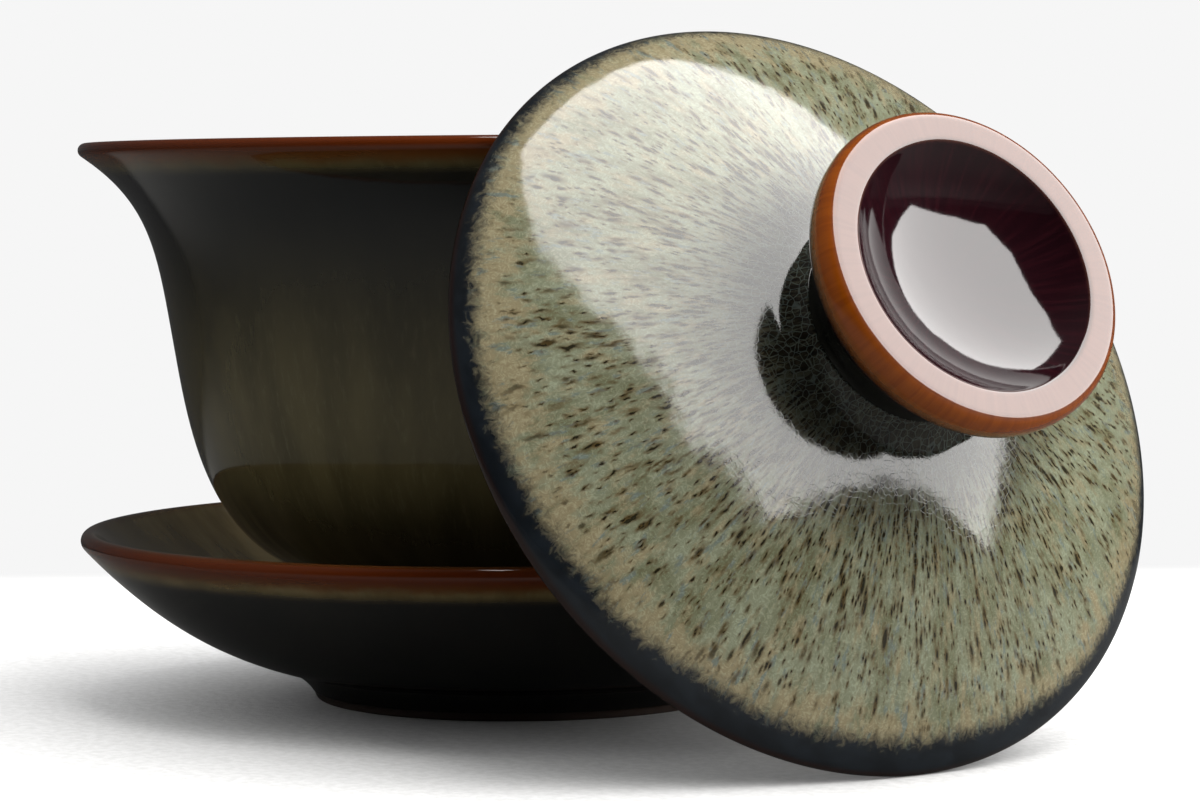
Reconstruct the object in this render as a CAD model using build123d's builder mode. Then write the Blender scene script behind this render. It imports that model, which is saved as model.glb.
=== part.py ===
"""Gaiwan: a flared tea bowl standing on a footed saucer, with its domed lid leaning on the bowl.

Millimetres, +Z up. The origin is on the table, on the common axis of the saucer and the bowl.
The lid stands on its rim on the table at +X, and leans back with its inside on the bowl's lip.
Every piece is a turned shape: a half section, revolved. A section is drawn on a plane whose
x is the radius and whose y is the height along the piece's own axis. A pair of pulls says how
strongly a curve keeps its starting and its ending slope.
"""

import os
from math import cos, radians, sin

from build123d import (
    Axis,
    Bezier,
    BuildLine,
    BuildPart,
    BuildSketch,
    Line,
    Plane,
    Polyline,
    ThreePointArc,
    Vector,
    export_step,
    fillet,
    make_face,
    revolve,
)

# ---- driving dimensions ---------------------------------------------------------------------

BOWL_RADIUS = 48.0  # the widest circle of the bowl's lip
BOWL_HEIGHT = 60.6  # the crest of the bowl's lip above the table
SAUCER_RADIUS = 48.3  # the widest circle of the saucer's lip
LID_RADIUS = 39.4  # the widest circle of the lid, which drops inside the bowl's flare
KNOB_RADIUS = 16.1
WALL = 2.6  # the clay's thickness in the bowl's belly

LEAN_ANGLE = 64.0  # how far the leaning lid's axis is tipped from vertical
LEAN_REACH = 54.0  # from the bowl's axis to the middle of the lid's rim

# ---- saucer ---------------------------------------------------------------------------------

SAUCER_FOOT_RADIUS = 22.9
SAUCER_FOOT_WIDTH = 3.3
SAUCER_FOOT_RECESS = 3.0
SAUCER_FOOT_FLARE = 3.5  # how far the foot spreads from the table up to the dish
SAUCER_FOOT_TOP = 3.3
SAUCER_FOOT_SLOPES = (72.0, 20.0)  # where it leaves the table, and where it meets the dish
SAUCER_FOOT_PULLS = (1.6, 1.4)
SAUCER_LIP = 1.0  # radius of the rounded lip
SAUCER_LIP_HEIGHT = 17.7  # middle of the rounded lip
SAUCER_LIP_SLOPE = 47.0
SAUCER_DISH_SLOPE = 14.0  # of the underside where it leaves the foot
SAUCER_UNDERSIDE_PULLS = (10.0, 7.7)
SAUCER_INSIDE_PULLS = (8.5, 9.0)
SEAT_HEIGHT = 6.2  # the well's floor, on which the bowl stands
SEAT_RADIUS = 22.2
SEAT_EDGE = 1.4  # height and width of the rounded step around the well
SEAT_EDGE_SLOPES = (5.0, 70.0)  # of the step's crest and of its foot
SEAT_EDGE_PULLS = (0.7, 0.6)

# ---- bowl -----------------------------------------------------------------------------------

BOWL_FOOT_RADIUS = 20.2
BOWL_FOOT_WIDTH = 2.8
BOWL_FOOT_RECESS = 5.0
BOWL_FOOT_FILLET = 0.6
BELLY_START = (20.8, 13.1)  # where the wall leaves the foot
BELLY_SLOPE = 9.8
BELLY_PULLS = (14.2, 10.0)
WAIST = (38.1, 39.4)  # where the round belly turns into the flare
WAIST_SLOPE = 80.6
FLARE_PULLS = (9.5, 8.9)
FLARE_SLOPE = 34.0
BOWL_LIP = 0.8  # radius of the rounded lip
FLARE_INSIDE_PULLS = (9.8, 10.3)
BELLY_INSIDE_PULLS = (9.0, 12.8)
BOWL_INSIDE_FLOOR = 14.1
BOWL_FLOOR_PULLS = (8.0, 8.0)

# ---- lid, measured from the middle of its rim -----------------------------------------------

LID_LIP = 1.1  # radius of the rounded rim
LID_SHOULDER = 2.8  # how strongly the rim rises before the dome turns inwards
DOME_TOP = (13.1, 13.8)  # where the dome meets the foot of the knob's neck
DOME_TOP_SLOPE = 19.0
DOME_TOP_PULL = 11.6
DOME_INSIDE_TOP = 10.9
DOME_INSIDE_PULLS = (13.4, 2.5)
KNOB_SEAT = (10.4, 16.3)  # where the knob is luted on
KNOB_SEAT_SLOPE = 105.0
KNOB_SEAT_PULLS = (1.6, 1.2)

# ---- knob -----------------------------------------------------------------------------------

NECK_PULLS = (2.6, 3.4)
KNOB_UNDERSIDE = (14.6, 23.8)
KNOB_UNDERSIDE_SLOPE = 42.0
KNOB_UNDERSIDE_PULLS = (1.2, 1.4)
KNOB_SIDE_HEIGHT = 27.0  # where the button is widest
KNOB_CREST = (14.9, 28.9)  # the outer edge of the flat crest
KNOB_CREST_PULLS = (1.2, 0.7)
KNOB_DISH_CREST = (13.1, 28.9)  # the inner edge of the flat crest
KNOB_DISH_EDGE = (12.4, 28.5)
KNOB_DISH_EDGE_PULLS = (0.4, 0.3)
KNOB_DISH_SLOPE = 50.0
KNOB_DISH_FLOOR = 23.3
KNOB_DISH_PULLS = (4.6, 5.0)

INWARD = 180.0  # the direction towards the axis
UPWARD = 90.0


def heading(degrees, length=1.0):
    """A step of this length in a section's plane, at this angle above the radius."""
    return Vector(length * cos(radians(degrees)), length * sin(radians(degrees)))


def curve(start, start_angle, end, end_angle, pulls):
    """A smooth curve that leaves start along one angle and arrives at end along another."""
    start, end = Vector(*start), Vector(*end)
    start_pull, end_pull = pulls
    return Bezier(start, start + heading(start_angle, start_pull), end - heading(end_angle, end_pull), end)


def rounded_lip(middle, radius, slope):
    """A half circle around a lip, from the outer face over the crest to the inner face."""
    middle = Vector(*middle)
    across = heading(slope + 90, radius)
    return ThreePointArc(middle - across, middle + heading(slope, radius), middle + across)


def turn_about(plane):
    """Revolve the section that was just drawn about its plane's upright axis."""
    return revolve(axis=Axis(plane.origin, plane.y_dir))


UPRIGHT = Plane.XZ

lid_rim_height = (LID_RADIUS - LID_LIP) * sin(radians(LEAN_ANGLE)) + LID_LIP
LEANING = Plane(
    origin=(LEAN_REACH, 0, lid_rim_height),
    x_dir=(cos(radians(LEAN_ANGLE)), 0, -sin(radians(LEAN_ANGLE))),
    z_dir=(0, -1, 0),
)

# ---- saucer: a shallow dish on a foot ring, with a well that keeps the bowl in the middle ------

saucer_lip_middle = (SAUCER_RADIUS - SAUCER_LIP, SAUCER_LIP_HEIGHT)
saucer_foot_edge = (SAUCER_FOOT_RADIUS, 0)
saucer_foot_top = (SAUCER_FOOT_RADIUS + SAUCER_FOOT_FLARE, SAUCER_FOOT_TOP)
saucer_foot_inner = SAUCER_FOOT_RADIUS - SAUCER_FOOT_WIDTH
foot_slope, foot_top_slope = SAUCER_FOOT_SLOPES
well_top = (SEAT_RADIUS + SEAT_EDGE, SEAT_HEIGHT + SEAT_EDGE)
well_foot = (SEAT_RADIUS, SEAT_HEIGHT)
well_top_angle = INWARD + SEAT_EDGE_SLOPES[0]
well_foot_angle = INWARD + SEAT_EDGE_SLOPES[1]

with BuildPart() as saucer:
    with BuildSketch(UPRIGHT):
        with BuildLine():
            foot = curve(saucer_foot_edge, foot_slope, saucer_foot_top, foot_top_slope, SAUCER_FOOT_PULLS)
            lip = rounded_lip(saucer_lip_middle, SAUCER_LIP, SAUCER_LIP_SLOPE)
            curve(foot @ 1, SAUCER_DISH_SLOPE, lip @ 0, SAUCER_LIP_SLOPE, SAUCER_UNDERSIDE_PULLS)
            curve(lip @ 1, INWARD + SAUCER_LIP_SLOPE, well_top, well_top_angle, SAUCER_INSIDE_PULLS)
            well = curve(well_top, well_top_angle, well_foot, well_foot_angle, SEAT_EDGE_PULLS)
            Polyline(
                well @ 1,
                (0, SEAT_HEIGHT),
                (0, SAUCER_FOOT_RECESS),
                (saucer_foot_inner, SAUCER_FOOT_RECESS),
                (saucer_foot_inner, 0),
                foot @ 0,
            )
        make_face()
    turn_about(UPRIGHT)

# ---- bowl: a foot ring, a round belly and a flared lip -----------------------------------------

bowl_lip_middle = (BOWL_RADIUS - BOWL_LIP, BOWL_HEIGHT - BOWL_LIP)
bowl_foot_inner = BOWL_FOOT_RADIUS - BOWL_FOOT_WIDTH
bowl_recess_top = SEAT_HEIGHT + BOWL_FOOT_RECESS
inner_waist = Vector(*WAIST) + heading(WAIST_SLOPE + 90, WALL)
inner_belly = Vector(*BELLY_START) + heading(BELLY_SLOPE + 90, WALL)

with BuildPart() as bowl:
    with BuildSketch(UPRIGHT):
        with BuildLine():
            lip = rounded_lip(bowl_lip_middle, BOWL_LIP, FLARE_SLOPE)
            belly = curve(BELLY_START, BELLY_SLOPE, WAIST, WAIST_SLOPE, BELLY_PULLS)
            curve(WAIST, WAIST_SLOPE, lip @ 0, FLARE_SLOPE, FLARE_PULLS)
            curve(lip @ 1, INWARD + FLARE_SLOPE, inner_waist, INWARD + WAIST_SLOPE, FLARE_INSIDE_PULLS)
            inner = curve(
                inner_waist, INWARD + WAIST_SLOPE, inner_belly, INWARD + BELLY_SLOPE, BELLY_INSIDE_PULLS
            )
            floor = curve(inner @ 1, INWARD + BELLY_SLOPE, (0, BOWL_INSIDE_FLOOR), INWARD, BOWL_FLOOR_PULLS)
            Polyline(
                floor @ 1,
                (0, bowl_recess_top),
                (bowl_foot_inner, bowl_recess_top),
                (bowl_foot_inner, SEAT_HEIGHT),
                (BOWL_FOOT_RADIUS, SEAT_HEIGHT),
                belly @ 0,
            )
        make_face()
    turn_about(UPRIGHT)
    fillet(bowl.edges().group_by(Axis.Z)[0], BOWL_FOOT_FILLET)

# ---- lid: a shallow dome, open below, with a seat for the knob on top --------------------------

rim_inner = (LID_RADIUS - 2 * LID_LIP, 0)
rim_lowest = (LID_RADIUS - LID_LIP, -LID_LIP)
rim_outer = (LID_RADIUS, 0)
dome_top_angle = INWARD - DOME_TOP_SLOPE

with BuildPart() as lid:
    with BuildSketch(LEANING):
        with BuildLine():
            rim = ThreePointArc(rim_inner, rim_lowest, rim_outer)
            dome = curve(rim_outer, UPWARD, DOME_TOP, dome_top_angle, (LID_SHOULDER, DOME_TOP_PULL))
            seat = curve(dome @ 1, dome_top_angle, KNOB_SEAT, KNOB_SEAT_SLOPE, KNOB_SEAT_PULLS)
            Polyline(seat @ 1, (0, KNOB_SEAT[1]), (0, DOME_INSIDE_TOP))
            curve((0, DOME_INSIDE_TOP), 0, rim_inner, -UPWARD, DOME_INSIDE_PULLS)
        make_face()
    turn_about(LEANING)

# ---- knob: a waisted neck under a round, dished button -----------------------------------------

knob_side = (KNOB_RADIUS, KNOB_SIDE_HEIGHT)
dish_edge_angle = INWARD + KNOB_DISH_SLOPE

with BuildPart() as lid_knob:
    with BuildSketch(LEANING):
        with BuildLine():
            neck = curve(KNOB_SEAT, KNOB_SEAT_SLOPE, KNOB_UNDERSIDE, KNOB_UNDERSIDE_SLOPE, NECK_PULLS)
            side = curve(neck @ 1, KNOB_UNDERSIDE_SLOPE, knob_side, UPWARD, KNOB_UNDERSIDE_PULLS)
            crest = curve(side @ 1, UPWARD, KNOB_CREST, INWARD, KNOB_CREST_PULLS)
            Line(crest @ 1, KNOB_DISH_CREST)
            edge = curve(KNOB_DISH_CREST, INWARD, KNOB_DISH_EDGE, dish_edge_angle, KNOB_DISH_EDGE_PULLS)
            dish = curve(edge @ 1, dish_edge_angle, (0, KNOB_DISH_FLOOR), INWARD, KNOB_DISH_PULLS)
            Polyline(dish @ 1, (0, KNOB_SEAT[1]), neck @ 0)
        make_face()
    turn_about(LEANING)

os.makedirs("parts", exist_ok=True)
for name, piece in {"saucer": saucer, "bowl": bowl, "lid": lid, "lid_knob": lid_knob}.items():
    piece.part.label = name
    export_step(piece.part, f"parts/{name}.step")
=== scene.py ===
"""Looks of the gaiwan: turned meshes with softened edges, glaze materials, light, floor and camera.

Sections are in millimetres, as (radius, height) along each piece's own axis, and the meshes are in
metres in the shared frame. The outlines are those of the CAD pieces that the meshes replace.
"""

import math

import bpy
import numpy as np
from mathutils import Matrix, Vector


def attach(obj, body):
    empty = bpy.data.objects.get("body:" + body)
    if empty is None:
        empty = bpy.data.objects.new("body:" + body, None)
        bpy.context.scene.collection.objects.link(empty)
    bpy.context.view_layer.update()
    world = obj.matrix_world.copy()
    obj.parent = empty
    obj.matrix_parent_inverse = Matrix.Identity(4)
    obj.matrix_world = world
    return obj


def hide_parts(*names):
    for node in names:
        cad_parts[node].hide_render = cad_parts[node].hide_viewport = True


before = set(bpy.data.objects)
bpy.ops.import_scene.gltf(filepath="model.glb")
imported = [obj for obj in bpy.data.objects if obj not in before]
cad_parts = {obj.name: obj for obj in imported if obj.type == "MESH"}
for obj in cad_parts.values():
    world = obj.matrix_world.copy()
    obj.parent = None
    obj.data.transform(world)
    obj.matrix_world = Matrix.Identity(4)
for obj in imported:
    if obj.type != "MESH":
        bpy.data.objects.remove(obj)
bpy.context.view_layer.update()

MM = 0.001

# ---- driving dimensions, the same as the CAD's ----------------------------------------------

BOWL_RADIUS = 48.0  # the widest circle of the bowl's lip
BOWL_HEIGHT = 60.6  # the crest of the bowl's lip above the table
SAUCER_RADIUS = 48.3  # the widest circle of the saucer's lip
LID_RADIUS = 39.4  # the widest circle of the lid, which drops inside the bowl's flare
KNOB_RADIUS = 16.1
WALL = 2.6  # the clay's thickness in the bowl's belly

LEAN_ANGLE = 64.0  # how far the leaning lid's axis is tipped from vertical
LEAN_REACH = 54.0  # from the bowl's axis to the middle of the lid's rim

# ---- saucer ---------------------------------------------------------------------------------

SAUCER_FOOT_RADIUS = 22.9
SAUCER_FOOT_WIDTH = 3.3
SAUCER_FOOT_RECESS = 3.0
SAUCER_FOOT_FLARE = 3.5  # how far the foot spreads from the table up to the dish
SAUCER_FOOT_TOP = 3.3
SAUCER_FOOT_SLOPES = (72.0, 20.0)  # where it leaves the table, and where it meets the dish
SAUCER_FOOT_PULLS = (1.6, 1.4)
SAUCER_LIP = 1.0  # radius of the rounded lip
SAUCER_LIP_HEIGHT = 17.7  # middle of the rounded lip
SAUCER_LIP_SLOPE = 47.0
SAUCER_DISH_SLOPE = 14.0  # of the underside where it leaves the foot
SAUCER_UNDERSIDE_PULLS = (10.0, 7.7)
SAUCER_INSIDE_PULLS = (8.5, 9.0)
SEAT_HEIGHT = 6.2  # the well's floor, on which the bowl stands
SEAT_RADIUS = 22.2
SEAT_EDGE = 1.4  # height and width of the rounded step around the well
SEAT_EDGE_SLOPES = (5.0, 70.0)  # of the step's crest and of its foot
SEAT_EDGE_PULLS = (0.7, 0.6)

# ---- bowl -----------------------------------------------------------------------------------

BOWL_FOOT_RADIUS = 20.2
BOWL_FOOT_WIDTH = 2.8
BOWL_FOOT_RECESS = 5.0
BELLY_START = (20.8, 13.1)  # where the wall leaves the foot
BELLY_SLOPE = 9.8
BELLY_PULLS = (14.2, 10.0)
WAIST = (38.1, 39.4)  # where the round belly turns into the flare
WAIST_SLOPE = 80.6
FLARE_PULLS = (9.5, 8.9)
FLARE_SLOPE = 34.0
BOWL_LIP = 0.8  # radius of the rounded lip
FLARE_INSIDE_PULLS = (9.8, 10.3)
BELLY_INSIDE_PULLS = (9.0, 12.8)
BOWL_INSIDE_FLOOR = 14.1
BOWL_FLOOR_PULLS = (8.0, 8.0)

# ---- lid, measured from the middle of its rim -----------------------------------------------

LID_LIP = 1.1  # radius of the rounded rim
LID_SHOULDER = 2.8  # how strongly the rim rises before the dome turns inwards
DOME_TOP = (13.1, 13.8)  # where the dome meets the foot of the knob's neck
DOME_TOP_SLOPE = 19.0
DOME_TOP_PULL = 11.6
DOME_INSIDE_TOP = 10.9
DOME_INSIDE_PULLS = (13.4, 2.5)
KNOB_SEAT = (10.4, 16.3)  # where the knob is luted on
KNOB_SEAT_SLOPE = 105.0
KNOB_SEAT_PULLS = (1.6, 1.2)

# ---- knob -----------------------------------------------------------------------------------

NECK_PULLS = (2.6, 3.4)
KNOB_UNDERSIDE = (14.6, 23.8)
KNOB_UNDERSIDE_SLOPE = 42.0
KNOB_UNDERSIDE_PULLS = (1.2, 1.4)
KNOB_SIDE_HEIGHT = 27.0  # where the button is widest
KNOB_CREST = (14.9, 28.9)  # the outer edge of the flat crest
KNOB_CREST_PULLS = (1.2, 0.7)
KNOB_DISH_CREST = (13.1, 28.9)  # the inner edge of the flat crest
KNOB_DISH_EDGE = (12.4, 28.5)
KNOB_DISH_EDGE_PULLS = (0.4, 0.3)
KNOB_DISH_SLOPE = 50.0
KNOB_DISH_FLOOR = 23.3
KNOB_DISH_PULLS = (4.6, 5.0)

INWARD = 180.0  # the direction towards the axis
UPWARD = 90.0


# ---- sections ---------------------------------------------------------------------------------

def heading(degrees, length=1.0):
    """A step of this length at this angle above the radius."""
    return Vector((length * math.cos(math.radians(degrees)), length * math.sin(math.radians(degrees))))


def line(*corners):
    """Straight runs through the corners."""
    return [Vector(corner) for corner in corners]


def curve(start, start_angle, end, end_angle, pulls, steps=40):
    """A smooth curve that leaves start along one angle and arrives at end along another."""
    first, last = Vector(start), Vector(end)
    second = first + heading(start_angle, pulls[0])
    third = last - heading(end_angle, pulls[1])
    points = []
    for step in range(steps + 1):
        t = step / steps
        s = 1 - t
        points.append(first * s**3 + second * 3 * s * s * t + third * 3 * s * t * t + last * t**3)
    return points


def arc(middle, radius, start_degrees, end_degrees, steps=16):
    """Part of a circle, from one angle to another."""
    return [
        Vector(middle) + heading(start_degrees + (end_degrees - start_degrees) * step / steps, radius)
        for step in range(steps + 1)
    ]


def softened(points, count, softness=0.16):
    """The section with its corners rounded as glaze rounds them, spaced by length and by how much it turns.

    The first and last points are on the axis. The result is one array row per ring of the mesh.
    """
    pitch = 0.05
    path = np.array([tuple(point) for point in points])
    along = np.concatenate([[0.0], np.cumsum(np.linalg.norm(np.diff(path, axis=0), axis=1))])
    even = np.linspace(0.0, along[-1], int(along[-1] / pitch))
    path = np.stack([np.interp(even, along, path[:, column]) for column in (0, 1)], axis=1)
    reach = int(4 * softness / pitch)
    weights = np.exp(-0.5 * (np.arange(-reach, reach + 1) * pitch / softness) ** 2)
    weights /= weights.sum()
    mirror = np.array([-1.0, 1.0])
    padded = np.concatenate([path[reach:0:-1] * mirror, path, path[-2:-reach - 2:-1] * mirror])
    path = np.stack([np.convolve(padded[:, column], weights, "valid") for column in (0, 1)], axis=1)
    path[[0, -1], 0] = 0.0
    step = np.diff(path, axis=0)
    turn = np.abs(np.diff(np.unwrap(np.arctan2(step[:, 1], step[:, 0]))))
    length_share = np.linalg.norm(step, axis=1) / np.linalg.norm(step, axis=1).sum()
    turn_share = np.concatenate([[0.0], turn]) / turn.sum()
    share = np.concatenate([[0.0], np.cumsum(0.5 * length_share + 0.5 * turn_share)])
    wanted = np.linspace(0.0, share[-1], count)
    return np.stack([np.interp(wanted, share, path[:, column]) for column in (0, 1)], axis=1)


def rounded_lip(middle, radius, slope):
    """A half circle around a lip, from the outer face over the crest to the inner face."""
    return arc(middle, radius, slope - 90, slope + 90)


def saucer_section():
    foot_inner = SAUCER_FOOT_RADIUS - SAUCER_FOOT_WIDTH
    foot_top = (SAUCER_FOOT_RADIUS + SAUCER_FOOT_FLARE, SAUCER_FOOT_TOP)
    foot_slope, foot_top_slope = SAUCER_FOOT_SLOPES
    lip = rounded_lip((SAUCER_RADIUS - SAUCER_LIP, SAUCER_LIP_HEIGHT), SAUCER_LIP, SAUCER_LIP_SLOPE)
    well_top = (SEAT_RADIUS + SEAT_EDGE, SEAT_HEIGHT + SEAT_EDGE)
    well_foot = (SEAT_RADIUS, SEAT_HEIGHT)
    well_top_angle, well_foot_angle = (INWARD + slope for slope in SEAT_EDGE_SLOPES)
    points = line((0, SAUCER_FOOT_RECESS), (foot_inner, SAUCER_FOOT_RECESS), (foot_inner, 0))
    points += curve((SAUCER_FOOT_RADIUS, 0), foot_slope, foot_top, foot_top_slope, SAUCER_FOOT_PULLS)
    points += curve(foot_top, SAUCER_DISH_SLOPE, lip[0], SAUCER_LIP_SLOPE, SAUCER_UNDERSIDE_PULLS)
    points += lip
    points += curve(lip[-1], INWARD + SAUCER_LIP_SLOPE, well_top, well_top_angle, SAUCER_INSIDE_PULLS)
    points += curve(well_top, well_top_angle, well_foot, well_foot_angle, SEAT_EDGE_PULLS)
    points += line((0, SEAT_HEIGHT))
    return points


def bowl_section():
    lip = rounded_lip((BOWL_RADIUS - BOWL_LIP, BOWL_HEIGHT - BOWL_LIP), BOWL_LIP, FLARE_SLOPE)
    foot_inner = BOWL_FOOT_RADIUS - BOWL_FOOT_WIDTH
    recess_top = SEAT_HEIGHT + BOWL_FOOT_RECESS
    inner_waist = Vector(WAIST) + heading(WAIST_SLOPE + 90, WALL)
    inner_belly = Vector(BELLY_START) + heading(BELLY_SLOPE + 90, WALL)
    floor_middle = (0, BOWL_INSIDE_FLOOR)
    points = line((0, recess_top), (foot_inner, recess_top), (foot_inner, SEAT_HEIGHT))
    points += line((BOWL_FOOT_RADIUS, SEAT_HEIGHT))
    points += curve(BELLY_START, BELLY_SLOPE, WAIST, WAIST_SLOPE, BELLY_PULLS)
    points += curve(WAIST, WAIST_SLOPE, lip[0], FLARE_SLOPE, FLARE_PULLS)
    points += lip
    points += curve(lip[-1], INWARD + FLARE_SLOPE, inner_waist, INWARD + WAIST_SLOPE, FLARE_INSIDE_PULLS)
    points += curve(inner_waist, INWARD + WAIST_SLOPE, inner_belly, INWARD + BELLY_SLOPE, BELLY_INSIDE_PULLS)
    points += curve(inner_belly, INWARD + BELLY_SLOPE, floor_middle, INWARD, BOWL_FLOOR_PULLS)
    return points


def lid_section():
    rim = arc((LID_RADIUS - LID_LIP, 0), LID_LIP, -INWARD, 0)
    dome_top_angle = INWARD - DOME_TOP_SLOPE
    points = curve((0, DOME_INSIDE_TOP), 0, rim[0], -UPWARD, DOME_INSIDE_PULLS)
    points += rim
    points += curve(rim[-1], UPWARD, DOME_TOP, dome_top_angle, (LID_SHOULDER, DOME_TOP_PULL))
    points += curve(DOME_TOP, dome_top_angle, KNOB_SEAT, KNOB_SEAT_SLOPE, KNOB_SEAT_PULLS)
    points += line((0, KNOB_SEAT[1]))
    return points


def knob_section():
    side = (KNOB_RADIUS, KNOB_SIDE_HEIGHT)
    dish_edge_angle = INWARD + KNOB_DISH_SLOPE
    points = line((0, KNOB_SEAT[1]), KNOB_SEAT)
    points += curve(KNOB_SEAT, KNOB_SEAT_SLOPE, KNOB_UNDERSIDE, KNOB_UNDERSIDE_SLOPE, NECK_PULLS)
    points += curve(KNOB_UNDERSIDE, KNOB_UNDERSIDE_SLOPE, side, UPWARD, KNOB_UNDERSIDE_PULLS)
    points += curve(side, UPWARD, KNOB_CREST, INWARD, KNOB_CREST_PULLS)
    points += line(KNOB_DISH_CREST)
    points += curve(KNOB_DISH_CREST, INWARD, KNOB_DISH_EDGE, dish_edge_angle, KNOB_DISH_EDGE_PULLS)
    points += curve(KNOB_DISH_EDGE, dish_edge_angle, (0, KNOB_DISH_FLOOR), INWARD, KNOB_DISH_PULLS)
    return points


# ---- turned meshes ------------------------------------------------------------------------------

lean = math.radians(LEAN_ANGLE)
lid_rim_height = (LID_RADIUS - LID_LIP) * math.sin(lean) + LID_LIP
UPRIGHT = (Vector((0, 0, 0)), Vector((1, 0, 0)), Vector((0, 0, 1)))
LEANING = (
    Vector((LEAN_REACH, 0, lid_rim_height)),
    Vector((math.cos(lean), 0, -math.sin(lean))),
    Vector((math.sin(lean), 0, math.cos(lean))),
)


def turned(name, points, rings, turns, stance, lip_height):
    """Turn a section into a closed mesh, and store where each point is on its own piece.

    "clay" is the point in the piece's own upright frame, in mm. "from_lip" is its distance along
    the section from the lip, in mm: positive before it and negative past it. The saucer's and the
    bowl's outsides and the knob's neck are positive.
    """
    section = softened(points, rings)
    radius = section[1:-1, 0]
    height = section[1:-1, 1]
    angle = np.linspace(0, 2 * math.pi, turns, endpoint=False)
    local = np.stack([
        np.outer(radius, np.cos(angle)),
        np.outer(radius, np.sin(angle)),
        np.repeat(height[:, None], turns, axis=1),
    ], axis=2).reshape(-1, 3)
    poles = np.array([[0, 0, section[0, 1]], [0, 0, section[-1, 1]]])
    local = np.concatenate([local, poles])
    origin, radial, axis = (np.array(vector) for vector in stance)
    sideways = np.cross(axis, radial)
    world = origin + local[:, :1] * radial + local[:, 1:2] * sideways + local[:, 2:] * axis

    faces = []
    last_ring = len(radius) - 1
    for ring in range(last_ring):
        low = ring * turns
        for turn in range(turns):
            after = (turn + 1) % turns
            faces.append((low + turn, low + after, low + turns + after, low + turns + turn))
    start_pole = len(world) - 2
    end_pole = len(world) - 1
    for turn in range(turns):
        after = (turn + 1) % turns
        faces.append((start_pole, after, turn))
        top = last_ring * turns
        faces.append((end_pole, top + turn, top + after))

    mesh = bpy.data.meshes.new(name)
    mesh.from_pydata((world * MM).tolist(), [], faces)
    mesh.polygons.foreach_set("use_smooth", [True] * len(mesh.polygons))

    along = np.concatenate([[0.0], np.cumsum(np.linalg.norm(np.diff(section, axis=0), axis=1))])
    lip = np.argmin(np.abs(section[:, 1] - lip_height) + np.abs(section[:, 0] - section[:, 0].max()))
    signed = along[lip] - along
    signed = np.concatenate([np.repeat(signed[1:-1], turns), signed[[0, -1]]])
    clay = mesh.attributes.new("clay", "FLOAT_VECTOR", "POINT")
    clay.data.foreach_set("vector", local.astype(np.float32).ravel())
    from_lip = mesh.attributes.new("from_lip", "FLOAT", "POINT")
    from_lip.data.foreach_set("value", signed.astype(np.float32))
    mesh.validate()
    piece = bpy.data.objects.new(name, mesh)
    bpy.context.scene.collection.objects.link(piece)
    return piece


# ---- node trees ---------------------------------------------------------------------------------

def paint(red, green, blue):
    """A linear colour from display values of 0 to 255."""
    return tuple(
        value / 255 / 12.92 if value <= 10 else ((value / 255 + 0.055) / 1.055) ** 2.4
        for value in (red, green, blue)
    ) + (1.0,)


class Tree:
    """Short names for the nodes that the materials use. Each call returns the socket it makes."""

    def __init__(self, name):
        self.material = bpy.data.materials.new(name)
        self.material.use_nodes = True
        self.nodes = self.material.node_tree.nodes
        self.links = self.material.node_tree.links
        self.shader = self.nodes["Principled BSDF"]

    def feed(self, socket, value):
        if isinstance(value, bpy.types.NodeSocket):
            self.links.new(value, socket)
        else:
            socket.default_value = value

    def add(self, kind, values=(), **settings):
        node = self.nodes.new(kind)
        for key, value in settings.items():
            setattr(node, key, value)
        for key, value in dict(values).items():
            self.feed(node.inputs[key], value)
        return node

    def math(self, operation, *values):
        return self.add("ShaderNodeMath", enumerate(values), operation=operation).outputs[0]

    def vector(self, operation, *values):
        node = self.add("ShaderNodeVectorMath", enumerate(values), operation=operation)
        return node.outputs["Value" if operation == "LENGTH" else "Vector"]

    def join(self, x, y, z):
        return self.add("ShaderNodeCombineXYZ", enumerate((x, y, z))).outputs[0]

    def split(self, vector):
        return self.add("ShaderNodeSeparateXYZ", {0: vector}).outputs

    def attribute(self, name, output):
        return self.add("ShaderNodeAttribute", attribute_name=name).outputs[output]

    def ramp(self, value, low, high, to_low=0.0, to_high=1.0):
        """Smoothly from to_low to to_high as value goes from low to high."""
        node = self.add("ShaderNodeMapRange", {0: value, 1: low, 2: high, 3: to_low, 4: to_high})
        node.interpolation_type = "SMOOTHSTEP"
        return node.outputs[0]

    def mix(self, share, first, second):
        node = self.add("ShaderNodeMix", {0: share, 6: first, 7: second}, data_type="RGBA")
        return node.outputs[2]

    def noise(self, vector, detail=3.0, roughness=0.5, distortion=0.0):
        values = {"Vector": vector, "Scale": 1.0, "Detail": detail, "Roughness": roughness}
        values["Distortion"] = distortion
        return self.add("ShaderNodeTexNoise", values).outputs["Fac"]

    def cells(self, vector, feature="F1", output="Distance"):
        node = self.add("ShaderNodeTexVoronoi", {"Vector": vector, "Scale": 1.0}, feature=feature)
        return node.outputs[output]

    def bump(self, height, distance, strength=1.0, normal=None):
        values = {"Height": height, "Distance": distance, "Strength": strength}
        if normal is not None:
            values["Normal"] = normal
        return self.add("ShaderNodeBump", values).outputs[0]


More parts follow.
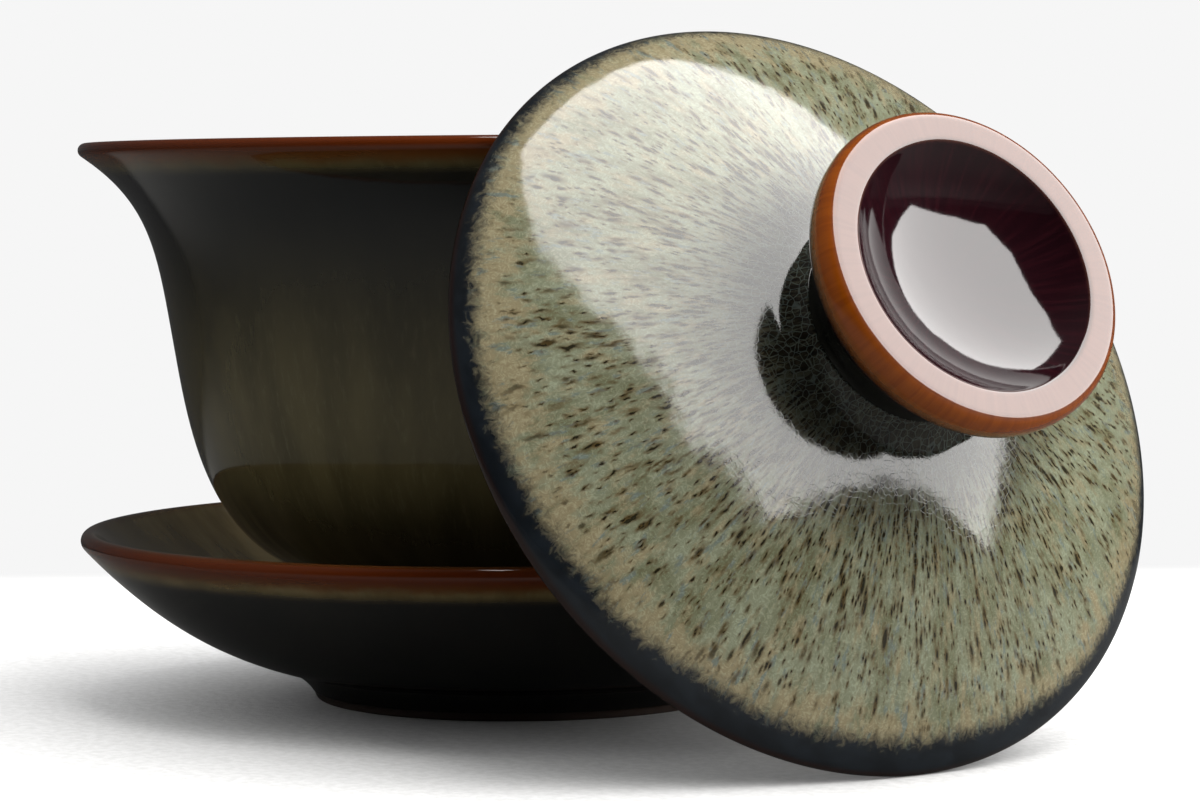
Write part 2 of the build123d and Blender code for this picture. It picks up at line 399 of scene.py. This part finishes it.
class Clay(Tree):
    """A tree that knows where a point is on its turned piece."""

    def __init__(self, name):
        super().__init__(name)
        self.place = self.attribute("clay", "Vector")
        self.lip = self.attribute("from_lip", "Fac")
        x, y, self.height = self.split(self.place)
        flat = self.join(x, y, 0.0)
        self.radius = self.vector("LENGTH", flat)
        self.spoke = self.vector("NORMALIZE", flat)

    def runs(self, around, along, shift=0.0):
        """A space whose noise follows the glaze's run: around marks per radian, along marks per mm."""
        x, y, z = self.split(self.spoke)
        return self.join(
            self.math("MULTIPLY_ADD", x, around, shift),
            self.math("MULTIPLY_ADD", y, around, shift),
            self.math("MULTIPLY", self.lip, along),
        )

    def mottle(self, per_mm, detail=3.0, roughness=0.5):
        return self.noise(self.vector("SCALE", self.place, (0, 0, 0), (0, 0, 0), per_mm), detail, roughness)

    def glaze_bump(self):
        """The slight unevenness of a poured glaze."""
        swell = self.mottle(0.35, 1.0)
        grain = self.mottle(3.5, 3.0, 0.6)
        normal = self.bump(swell, 0.000018)
        return self.bump(grain, 0.0000018, 1.0, normal)


def finish_glaze(tree, colour, roughness, normal, ior=1.53):
    tree.feed(tree.shader.inputs["Base Color"], colour)
    tree.feed(tree.shader.inputs["Roughness"], roughness)
    tree.feed(tree.shader.inputs["Normal"], normal)
    tree.shader.inputs["IOR"].default_value = ior
    return tree.material


# ---- glazes -------------------------------------------------------------------------------------

CELADON = paint(101, 107, 90)
SAGE = paint(75, 79, 60)
TAN = paint(111, 104, 82)
SKY = paint(78, 90, 88)
CREAM = paint(122, 118, 97)
AMBER = paint(64, 50, 26)
IRON = paint(17, 16, 9)
SLATE = paint(19, 23, 27)
# a deep slate tone, which the dark glazes also use as painted shade
DUSK_AND_PAINTED_SHADE = paint(13, 16, 19)
# near-black; the lid takes it near the knob, partly as its own glaze and partly as painted shade
INK_AND_KNOB_SHADE = paint(9, 8, 7)
RUST = paint(30, 12, 6)
SPECK = paint(84, 80, 58)
LIP_RUST = paint(66, 26, 6)
LIP_AMBER = paint(70, 40, 14)
BARE_CLAY = paint(48, 33, 24)
SAUCER_DEEP = paint(72, 61, 36)
SAUCER_OLIVE = paint(92, 80, 52)
BOWL_DEEP = paint(57, 52, 33)
BOWL_OLIVE = paint(69, 63, 41)

# Each layer of short dark runs: marks per radian, marks per mm, where its noise starts, and mark size
RUN_LAYERS = ((30.0, 0.24, 3.0, 0.27), (42.0, 0.38, 13.0, 0.25), (60.0, 0.62, 23.0, 0.25))


def streaked_glaze(name, band, tan_reach, knob_reach):
    """The glaze that breaks from slate at the rim, over tan, to a grey-green full of short dark runs.

    band and tan_reach are how far in from the rim the slate and the tan reach, in mm of radius.
    knob_reach is the radius within which the runs close up, the glaze darkens, partly as painted shade, and
    crackles.
    """
    tree = Clay(name)
    inward = tree.math("SUBTRACT", LID_RADIUS, tree.radius)
    feather = tree.noise(tree.runs(34.0, 0.8), 7.0, 0.7, 1.2)
    drift = tree.noise(tree.runs(2.6, 0.02, 5.0), 2.0)
    fur = tree.math("MULTIPLY_ADD", feather, 3.0, -1.5)
    wave = tree.math("MULTIPLY_ADD", drift, 1.2, -0.6)
    edge = tree.math("ADD", tree.math("ADD", inward, fur), wave)

    cloud = tree.noise(tree.runs(9.0, 0.16, 9.0), 4.0, 0.6)
    body = tree.mix(tree.ramp(cloud, 0.36, 0.62), SAGE, CELADON)
    threads = tree.noise(tree.runs(44.0, 0.34, 29.0), 4.0, 0.6)
    body = tree.mix(tree.ramp(threads, 0.42, 0.62, 0.0, 0.5), body, CELADON)
    warm = tree.noise(tree.runs(20.0, 0.26, 17.0), 5.0, 0.65)
    near_rim = tree.ramp(inward, tan_reach * 0.35, tan_reach * 1.5, 0.20, -0.01)
    body = tree.mix(tree.ramp(tree.math("ADD", warm, near_rim), 0.48, 0.70, 0.0, 0.95), body, TAN)
    cold = tree.noise(tree.runs(40.0, 0.42, 31.0), 3.0, 0.6)
    body = tree.mix(tree.ramp(cold, 0.56, 0.68, 0.0, 0.85), body, SKY)

    curl = tree.noise(tree.runs(50.0, 1.5, 47.0), 6.0, 0.7, 2.2)
    body = tree.mix(tree.ramp(curl, 0.44, 0.60, 0.30, 0.0), body, AMBER)
    body = tree.mix(tree.ramp(curl, 0.50, 0.66, 0.0, 0.30), body, CREAM)

    crowding = tree.ramp(tree.radius, knob_reach, knob_reach + 17.0, 1.0, 0.0)
    quiet = tree.ramp(inward, band * 0.6, band + tan_reach * 0.7, 0.2, 1.0)
    for around, along, shift, size in RUN_LAYERS:
        wander = tree.noise(tree.runs(around * 1.1, along * 2.6, shift + 4.0), 3.0)
        sideways = tree.math("MULTIPLY_ADD", wander, 1.3, -0.65)
        bent = tree.vector("ADD", tree.runs(around, along, shift), tree.join(sideways, 0.0, 0.0))
        reach = tree.cells(bent)
        uneven = tree.noise(tree.runs(around * 0.45, along * 0.6, shift + 8.0), 1.0)
        mark = tree.math("MULTIPLY_ADD", uneven, 0.5, size - 0.25)
        room = tree.math("MULTIPLY_ADD", crowding, 0.13, mark)
        past = tree.math("SUBTRACT", reach, room)
        halo = tree.ramp(past, -0.18, 0.16, 0.66, 0.0)
        core = tree.ramp(past, -0.22, -0.02, 0.88, 0.0)
        body = tree.mix(tree.math("MULTIPLY", halo, quiet), body, AMBER)
        body = tree.mix(tree.math("MULTIPLY", core, quiet), body, IRON)

    # darker towards the knob: partly the glaze's own darkening there, partly painted shade from the knob
    body = tree.mix(tree.ramp(tree.radius, knob_reach - 2.0, knob_reach + 9.0, 0.85, 0.0), body, INK_AND_KNOB_SHADE)
    depth = tree.noise(tree.runs(12.0, 0.5, 41.0), 4.0, 0.6)
    slate = tree.mix(tree.ramp(depth, 0.35, 0.65), SLATE, DUSK_AND_PAINTED_SHADE)
    spoke_x = tree.split(tree.spoke)[0]
    reach_in = tree.math("SUBTRACT", edge, tree.math("MULTIPLY", spoke_x, band * 0.3))
    body = tree.mix(tree.ramp(reach_in, band * 0.7 - 0.9, band * 0.7 + 1.0, 1.0, 0.0), body, slate)
    away = tree.math("ABSOLUTE", tree.lip)
    body = tree.mix(tree.ramp(away, 0.1, 0.9, 0.8, 0.0), body, RUST)
    crackle = tree.cells(tree.vector("SCALE", tree.place, (0, 0, 0), (0, 0, 0), 1.5), "DISTANCE_TO_EDGE")
    near_knob = tree.ramp(tree.radius, knob_reach + 6.0, knob_reach + 12.0, 1.0, 0.0)
    web = tree.math("MULTIPLY", tree.ramp(crackle, 0.0, 0.09, 1.0, 0.0), near_knob)
    body = tree.mix(tree.math("MULTIPLY", web, 0.28), body, SKY)
    normal = tree.bump(web, 0.000001, 1.0, tree.glaze_bump())
    return finish_glaze(tree, body, 0.075, normal)


def dark_glaze(name, deep, olive, painted_shade_reach, foot_painted_shade, amber_band, foot_height):
    """A near-black olive glaze with faint runs, which thins to amber on the lip and stops at the foot.

    Outside, painted shade darkens it under the lip and towards the foot, where shade and the dark
    reflection of the shadowed floor fall. The first fades out over painted_shade_reach, and the
    second comes in over foot_painted_shade, both in mm from the lip.
    """
    tree = Clay(name)
    runs = tree.ramp(tree.noise(tree.runs(7.0, 0.05, 2.0), 5.0, 0.6), 0.34, 0.68)
    clouds = tree.ramp(tree.mottle(0.12, 5.0, 0.6), 0.34, 0.68)
    towards_rim = tree.ramp(tree.radius, 8.0, 26.0)
    body = tree.mix(tree.mix(towards_rim, clouds, runs), deep, olive)
    fine = tree.noise(tree.runs(60.0, 0.4, 7.0), 4.0, 0.65)
    body = tree.mix(tree.ramp(fine, 0.50, 0.74, 0.0, 0.35), body, SPECK)
    # painted shade: the outside is darkened under the lip and towards the foot, standing for shade and the
    # dark reflection of the shadowed floor
    outside = tree.ramp(tree.lip, amber_band, amber_band + 2.0)
    under_lip_painted_shade = tree.math("MULTIPLY", outside, tree.ramp(tree.lip, *painted_shade_reach, 0.94, 0.0))
    painted_shade = tree.math("MAXIMUM", under_lip_painted_shade, tree.ramp(tree.lip, *foot_painted_shade, 0.0, 0.85))
    body = tree.mix(painted_shade, body, DUSK_AND_PAINTED_SHADE)
    away = tree.math("ABSOLUTE", tree.lip)
    ragged = tree.math("MULTIPLY_ADD", tree.noise(tree.runs(12.0, 0.3), 4.0, 0.6), 2.0, -1.0)
    edge = tree.math("ADD", away, ragged)
    thin = tree.mix(tree.ramp(away, 0.4, amber_band * 0.8), LIP_RUST, LIP_AMBER)
    body = tree.mix(tree.ramp(edge, amber_band * 0.55, amber_band * 1.3, 1.0, 0.0), body, thin)
    bare = tree.ramp(tree.height, foot_height, foot_height + 0.5, 1.0, 0.0)
    body = tree.mix(bare, body, BARE_CLAY)
    roughness = tree.math("MULTIPLY_ADD", bare, 0.6, 0.07)
    return finish_glaze(tree, body, roughness, tree.glaze_bump())


def knob_glaze():
    """Near-black on the neck and in the dish, and amber around the side where the glaze runs thin."""
    tree = Clay("knob_glaze")
    streak = tree.noise(tree.runs(26.0, 0.12, 2.0), 4.0, 0.6)
    neck = paint(8, 8, 6)
    side = tree.mix(tree.ramp(streak, 0.35, 0.65), paint(98, 44, 5), paint(108, 52, 7))
    under = paint(52, 24, 5)
    crest = tree.mix(tree.ramp(streak, 0.3, 0.7), paint(79, 50, 41), paint(84, 54, 44))
    dish = tree.mix(tree.ramp(streak, 0.4, 0.7), paint(22, 6, 10), paint(32, 9, 14))
    past = tree.math("MULTIPLY", tree.lip, -1.0)
    body = tree.mix(tree.ramp(past, -3.8, -2.8), neck, under)
    body = tree.mix(tree.ramp(past, -2.4, 0.6), body, side)
    body = tree.mix(tree.ramp(past, 1.5, 2.4), body, crest)
    body = tree.mix(tree.ramp(past, 4.2, 5.0), body, dish)
    return finish_glaze(tree, body, 0.06, tree.glaze_bump(), 1.63)


saucer = turned("saucer_turned", saucer_section(), 190, 420, UPRIGHT, SAUCER_LIP_HEIGHT)
bowl = turned("bowl_turned", bowl_section(), 220, 420, UPRIGHT, BOWL_HEIGHT)
lid = turned("lid_turned", lid_section(), 200, 440, LEANING, 0.0)
knob = turned("knob_turned", knob_section(), 200, 360, LEANING, KNOB_SIDE_HEIGHT)

BARE_FOOT = 0.6  # how far up the saucer's foot the clay is bare
# the painted shade's first reach lies past the saucer's foot, so the whole of its underside is painted dark
# as shade
saucer_glaze = dark_glaze(
    "saucer_glaze", SAUCER_DEEP, SAUCER_OLIVE,
    painted_shade_reach=(60.0, 80.0), foot_painted_shade=(10.0, 30.0), amber_band=2.2, foot_height=BARE_FOOT,
)
# painted shade on the bowl's outside, under the lip and towards the foot
bowl_glaze = dark_glaze(
    "bowl_glaze", BOWL_DEEP, BOWL_OLIVE,
    painted_shade_reach=(8.0, 34.0), foot_painted_shade=(36.0, 52.0), amber_band=3.2, foot_height=SEAT_HEIGHT + 0.8,
)
pieces = (
    (saucer, "saucer", "saucer", saucer_glaze, "saucer_glaze"),
    (bowl, "bowl", "bowl", bowl_glaze, "bowl_glaze"),
    (lid, "lid", "lid", streaked_glaze("lid_glaze", band=2.5, tan_reach=5.0, knob_reach=14.0), "lid_glaze"),
    (knob, "lid", "lid_knob", knob_glaze(), "knob_glaze"),
)
for piece, body, node, material, slot in pieces:
    piece.data.materials.append(material)
    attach(piece, body)
    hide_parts(node)

# ---- floor --------------------------------------------------------------------------------------

BACKDROP = paint(246, 246, 246)
VIEW_BEARING = math.radians(147.51)
FLOOR_HALF = 6.0
FLOOR_BACK = 0.112  # where the floor gives way to the backdrop, behind the pieces
FLOOR_REACH = (0.5, 0.9)  # where the lit floor gives way to the backdrop, all round
FLOOR_DIMMING = (0.12, 0.26)  # where the floor gives less light to the pieces, as past a table's edge
BACKDROP_BLEND = (0.012, 0.02)  # how far before and past FLOOR_BACK the change takes

floor_corners = [
    (across * FLOOR_HALF, deep * FLOOR_HALF, 0) for across, deep in ((-1, -1), (1, -1), (1, 1), (-1, 1))
]
floor_mesh = bpy.data.meshes.new("floor")
floor_mesh.from_pydata(floor_corners, [], [(0, 1, 2, 3)])
floor = bpy.data.objects.new("floor", floor_mesh)
bpy.context.scene.collection.objects.link(floor)

table = Tree("table_top")
place = table.add("ShaderNodeTexCoord").outputs["Object"]
weave = table.noise(table.vector("SCALE", place, (0, 0, 0), (0, 0, 0), 900.0), 4.0, 0.6)
board = table.mix(table.ramp(weave, 0.3, 0.7), (0.44, 0.44, 0.44, 1), (0.51, 0.51, 0.51, 1))
path = table.add("ShaderNodeLightPath")
seen = path.outputs["Is Camera Ray"]
spread = table.vector("LENGTH", place)
dimming = table.ramp(spread, *FLOOR_DIMMING)
lighting = table.mix(dimming, (0.32, 0.32, 0.32, 1), (0.07, 0.07, 0.07, 1))
mirrored = table.mix(dimming, (0.052, 0.052, 0.050, 1), (0.015, 0.015, 0.015, 1))
unseen_board = table.mix(path.outputs["Is Glossy Ray"], lighting, mirrored)
table.feed(table.shader.inputs["Base Color"], table.mix(seen, unseen_board, board))
table.feed(table.shader.inputs["Normal"], table.bump(weave, 0.00008))
table.shader.inputs["Roughness"].default_value = 0.85
table.shader.inputs["Specular IOR Level"].default_value = 0.1
x, y, z = table.split(place)
behind_y = table.math("MULTIPLY", y, math.sin(VIEW_BEARING))
behind = table.math("MULTIPLY_ADD", x, math.cos(VIEW_BEARING), behind_y)
far = table.math(
    "MAXIMUM",
    table.ramp(behind, FLOOR_BACK - BACKDROP_BLEND[0], FLOOR_BACK + BACKDROP_BLEND[1]),
    table.ramp(spread, *FLOOR_REACH),
)
glow_strength = table.ramp(seen, 0.0, 1.0, 0.05, 1.0)
glow = table.add("ShaderNodeEmission", {"Color": BACKDROP, "Strength": glow_strength})
blend = table.add("ShaderNodeMixShader", {0: far, 1: table.shader.outputs[0], 2: glow.outputs[0]})
table.links.new(blend.outputs[0], table.nodes["Material Output"].inputs["Surface"])
floor_mesh.materials.append(table.material)

# ---- light --------------------------------------------------------------------------------------

SOFTBOX_BEARING = math.radians(35.6)
SOFTBOX_RISE = math.radians(35.7)
SOFTBOX_ROLL = math.radians(-16)
SOFTBOX_DISTANCE = 1.2
# half its width, its lower and upper edges, and its cut corners, as shares of its distance
SOFTBOX_HALF_WIDTH = 0.84
SOFTBOX_LOW = -0.60
SOFTBOX_HIGH = 1.76
CORNER_CUT = 0.28
LOW_CORNER = 0.40
HIGH_CORNER = 0.90
LIGHT_MIDDLE = (0.05, 0.30)
SOFTBOX_RADIANCE = (7.2, 7.0)  # far from the middle of its light, and there
SOFTBOX_FADE = 1.5  # how far the light takes to change, as a share of the distance
SOFTBOX_TARGET = Vector((0.060, -0.010, 0.045))

inner = SOFTBOX_HALF_WIDTH - CORNER_CUT
low_corner = SOFTBOX_LOW + LOW_CORNER
high_corner = SOFTBOX_HIGH - HIGH_CORNER
right_side = [
    (inner, SOFTBOX_LOW),
    (SOFTBOX_HALF_WIDTH, low_corner),
    (SOFTBOX_HALF_WIDTH, high_corner),
    (inner, SOFTBOX_HIGH),
]
left_side = [(-across, up) for across, up in reversed(right_side)]
softbox_corners = [
    (across * SOFTBOX_DISTANCE, up * SOFTBOX_DISTANCE, 0.0) for across, up in right_side + left_side
]
softbox_facing = Vector((
    math.cos(SOFTBOX_BEARING) * math.cos(SOFTBOX_RISE),
    math.sin(SOFTBOX_BEARING) * math.cos(SOFTBOX_RISE),
    math.sin(SOFTBOX_RISE),
))
softbox_mesh = bpy.data.meshes.new("softbox")
softbox_mesh.from_pydata(softbox_corners, [], [tuple(range(len(softbox_corners)))])
softbox = bpy.data.objects.new("softbox", softbox_mesh)
softbox_stand = softbox_facing.to_track_quat("Z", "Y").to_matrix()
softbox.rotation_euler = (softbox_stand @ Matrix.Rotation(SOFTBOX_ROLL, 3, "Z")).to_euler()
softbox.location = SOFTBOX_TARGET + SOFTBOX_DISTANCE * softbox_facing
bpy.context.scene.collection.objects.link(softbox)
softbox.visible_camera = False
lamp = Tree("softbox_light")
light_middle = (LIGHT_MIDDLE[0] * SOFTBOX_DISTANCE, LIGHT_MIDDLE[1] * SOFTBOX_DISTANCE, 0.0)
on_box = lamp.vector("SUBTRACT", lamp.add("ShaderNodeTexCoord").outputs["Object"], light_middle)
fade = SOFTBOX_FADE * SOFTBOX_DISTANCE
radiance = lamp.ramp(lamp.vector("LENGTH", on_box), 0.0, fade, *reversed(SOFTBOX_RADIANCE))
lamp_glow = lamp.add("ShaderNodeEmission", {"Color": (1.0, 0.99, 0.975, 1.0), "Strength": radiance})
lamp.links.new(lamp_glow.outputs[0], lamp.nodes["Material Output"].inputs["Surface"])
softbox_mesh.materials.append(lamp.material)

# the room's light from in front of the pieces, and from the pale wall behind and beside them
ROOM_DIFFUSE = (0.03, 2.6)
ROOM_GLOSSY = (0.004, 0.07)
WALL_SPREAD = (-0.15, 0.5)  # the cosines between which the wall comes in
WALL_BEARING = VIEW_BEARING + math.radians(32)
WALL_RISE = math.radians(22)
WALL_FACING = (
    math.cos(WALL_BEARING) * math.cos(WALL_RISE),
    math.sin(WALL_BEARING) * math.cos(WALL_RISE),
    math.sin(WALL_RISE),
)

world = bpy.data.worlds.new("studio")
bpy.context.scene.world = world
world.use_nodes = True
sky = world.node_tree
sky.nodes.clear()
sky_output = sky.nodes.new("ShaderNodeOutputWorld")
rays = sky.nodes.new("ShaderNodeLightPath")

# how far a direction points to the wall, as a cosine
wall_dot = sky.nodes.new("ShaderNodeVectorMath")
wall_dot.operation = "DOT_PRODUCT"
sky.links.new(sky.nodes.new("ShaderNodeTexCoord").outputs["Generated"], wall_dot.inputs[0])
wall_dot.inputs[1].default_value = WALL_FACING


def background(strengths, colour):
    node = sky.nodes.new("ShaderNodeBackground")
    node.inputs["Color"].default_value = colour
    ramp = sky.nodes.new("ShaderNodeMapRange")
    ramp.interpolation_type = "SMOOTHSTEP"
    sky.links.new(wall_dot.outputs["Value"], ramp.inputs[0])
    for socket, value in zip(list(ramp.inputs)[1:5], (*WALL_SPREAD, *strengths)):
        socket.default_value = value
    sky.links.new(ramp.outputs[0], node.inputs["Strength"])
    return node.outputs[0]


def choose(share, first, second):
    node = sky.nodes.new("ShaderNodeMixShader")
    for socket, source in zip(node.inputs, (share, first, second)):
        sky.links.new(source, socket)
    return node.outputs[0]


WHITE = (1.0, 1.0, 1.0, 1.0)
glossy_light = background(ROOM_GLOSSY, WHITE)
diffuse_light = background(ROOM_DIFFUSE, WHITE)
unseen = choose(rays.outputs["Is Diffuse Ray"], glossy_light, diffuse_light)
whole_sky = choose(rays.outputs["Is Camera Ray"], unseen, background((1.0, 1.0), BACKDROP))
sky.links.new(whole_sky, sky_output.inputs["Surface"])

# ---- camera -------------------------------------------------------------------------------------

CAMERA_DISTANCE = 0.40655
CAMERA_HEIGHT = 0.05532
CAMERA_BEARING = math.radians(-31.3)
VIEW_DROP = math.radians(3.277)
VIEW_ROLL = math.radians(-0.424)
LENS = 111.34

camera_data = bpy.data.cameras.new("camera")
camera_data.sensor_width = 36.0
camera_data.lens = LENS
camera_data.clip_start = 0.01
camera_data.clip_end = 50.0
camera = bpy.data.objects.new("camera", camera_data)
bpy.context.scene.collection.objects.link(camera)
camera.location = (
    CAMERA_DISTANCE * math.cos(CAMERA_BEARING),
    CAMERA_DISTANCE * math.sin(CAMERA_BEARING),
    CAMERA_HEIGHT,
)
view = Vector((
    math.cos(VIEW_BEARING) * math.cos(VIEW_DROP),
    math.sin(VIEW_BEARING) * math.cos(VIEW_DROP),
    -math.sin(VIEW_DROP),
))
upright = view.to_track_quat("-Z", "Y").to_matrix()
camera.rotation_euler = (upright @ Matrix.Rotation(VIEW_ROLL, 3, "Z")).to_euler()
bpy.context.scene.camera = camera
bpy.context.scene.view_settings.view_transform = "Standard"
